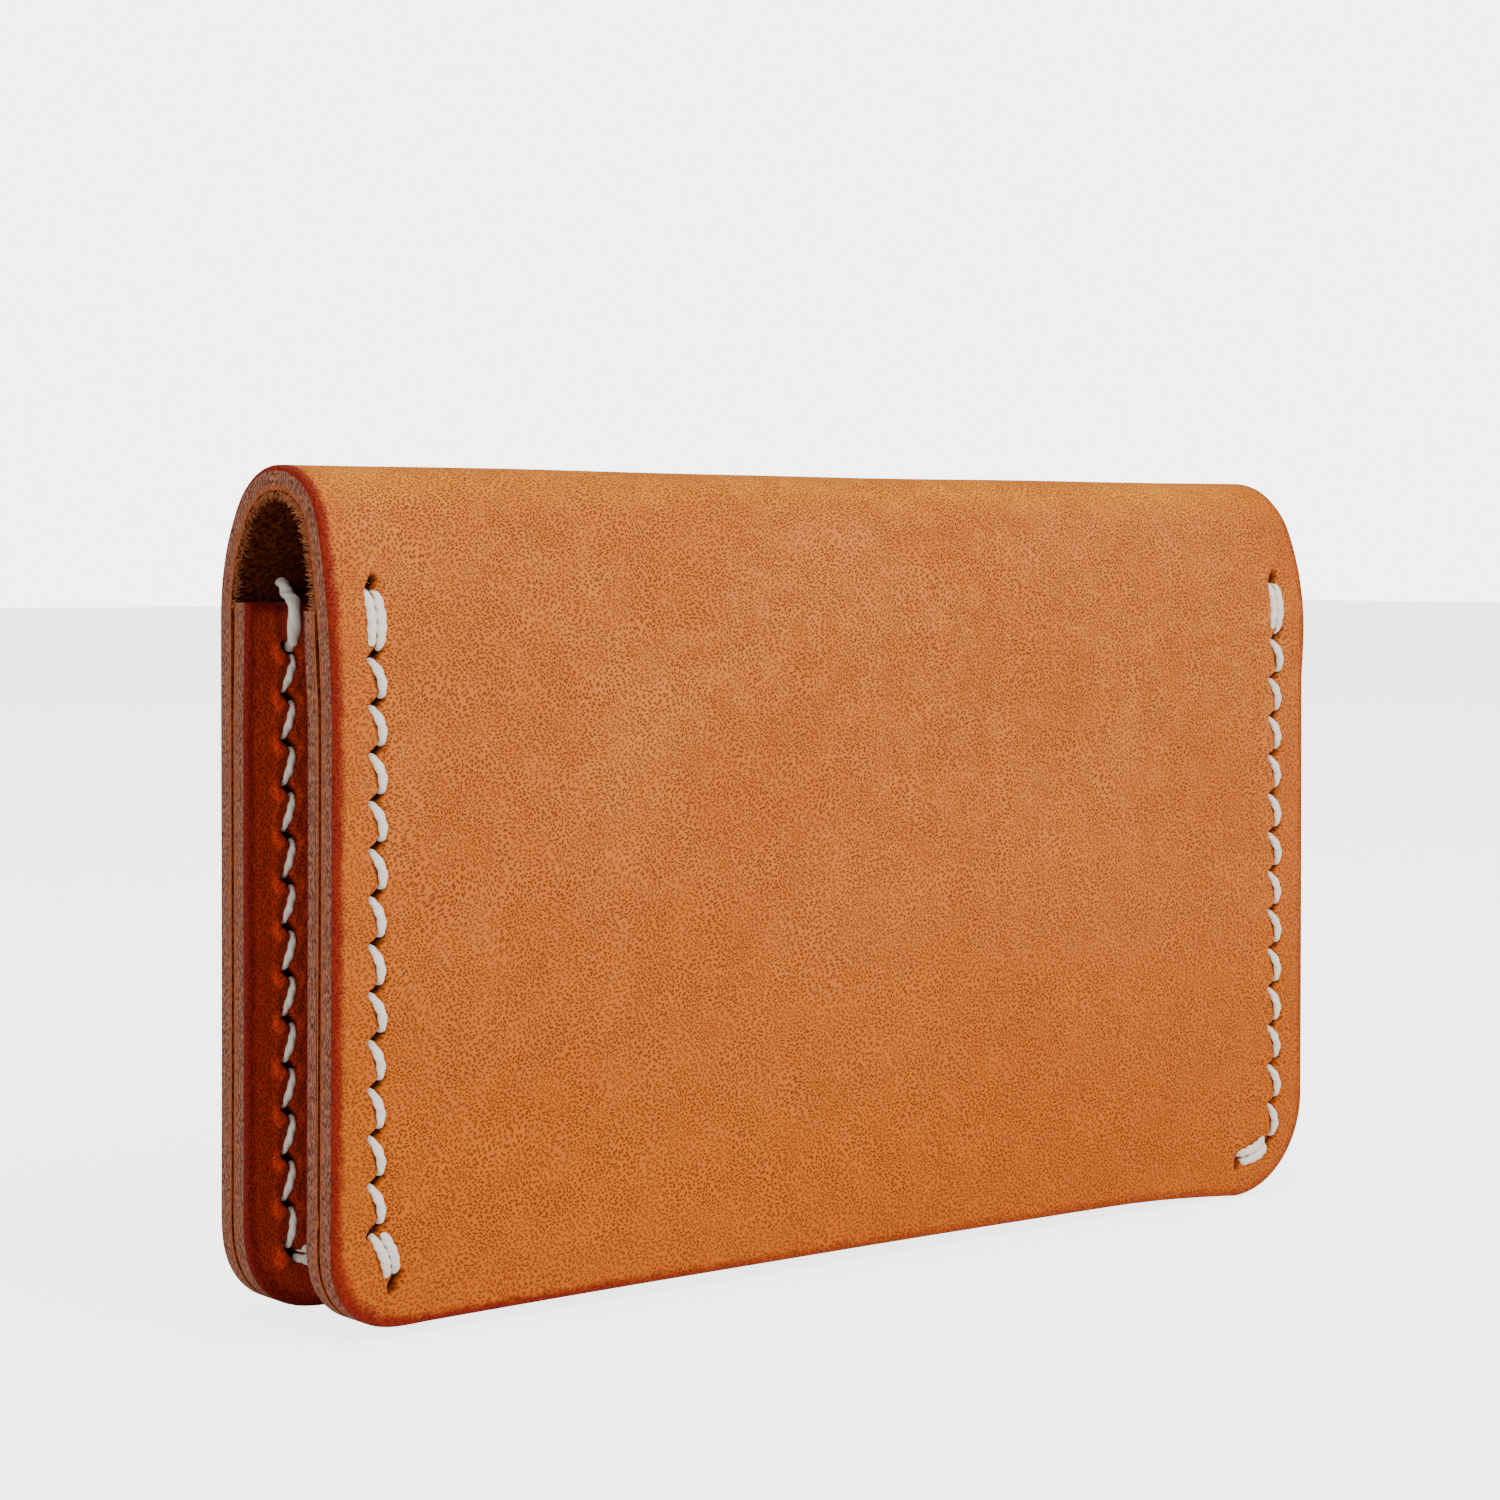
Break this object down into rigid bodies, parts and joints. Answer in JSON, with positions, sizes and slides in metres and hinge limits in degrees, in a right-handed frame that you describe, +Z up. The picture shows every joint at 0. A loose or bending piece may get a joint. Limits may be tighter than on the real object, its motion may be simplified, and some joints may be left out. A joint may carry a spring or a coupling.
{
  "type": "bifold wallet",
  "caption": "Bifold card wallet of thick tan leather, folded over its top edge, with a stitched pocket inside each half.",
  "frame": {"origin": "centre of the footprint, on the surface that the wallet's open edges stand on", "axes": "+X along the fold to the viewer's right, +Y through the thickness from the front half to the back half, +Z up to the fold"},
  "size_m": [0.1124, 0.0182, 0.0705],
  "materials": {
    "cover_leather": "natural vegetable-tanned tan, smooth grain with a low sheen, darker burnished edges",
    "pocket_leather": "natural vegetable-tanned tan, a shade darker, smooth grain",
    "thread": "thick waxed cream thread"
  },
  "bodies": {
    "back_half": {"cover_back": "cover_leather", "pocket_back": "pocket_leather", "stitching_back_left": "thread", "stitching_back_right": "thread"},
    "fold_strip_1": {"cover_fold_1": "cover_leather"},
    "fold_strip_2": {"cover_fold_2": "cover_leather"},
    "fold_strip_3": {"cover_fold_3": "cover_leather"},
    "front_half": {"cover_front": "cover_leather", "pocket_front": "pocket_leather", "stitching_front_left": "thread", "stitching_front_right": "thread"}
  },
  "joints": [
    {"name": "fold_line_1", "type": "hinge", "parent": "back_half", "child": "fold_strip_1", "pos_m": [0, 0.00783, 0.06423], "axis": [-1, 0, 0], "range_deg": [-1.8, 45], "stiffness_Nm_per_rad": 0.6},
    {"name": "fold_line_2", "type": "hinge", "parent": "fold_strip_1", "child": "fold_strip_2", "pos_m": [0, 0.00287, 0.06993], "axis": [-1, 0, 0], "range_deg": [-1.8, 45], "stiffness_Nm_per_rad": 0.6},
    {"name": "fold_line_3", "type": "hinge", "parent": "fold_strip_2", "child": "fold_strip_3", "pos_m": [0, -0.00287, 0.06993], "axis": [-1, 0, 0], "range_deg": [-1.8, 45], "stiffness_Nm_per_rad": 0.6},
    {"name": "fold_line_4", "type": "hinge", "parent": "fold_strip_3", "child": "front_half", "pos_m": [0, -0.00783, 0.06423], "axis": [-1, 0, 0], "range_deg": [-1.8, 45], "stiffness_Nm_per_rad": 0.6}
  ],
  "couplings": [
    {"joint": "fold_line_2", "follows": "fold_line_1", "ratio": 1},
    {"joint": "fold_line_3", "follows": "fold_line_1", "ratio": 1},
    {"joint": "fold_line_4", "follows": "fold_line_1", "ratio": 1}
  ]
}
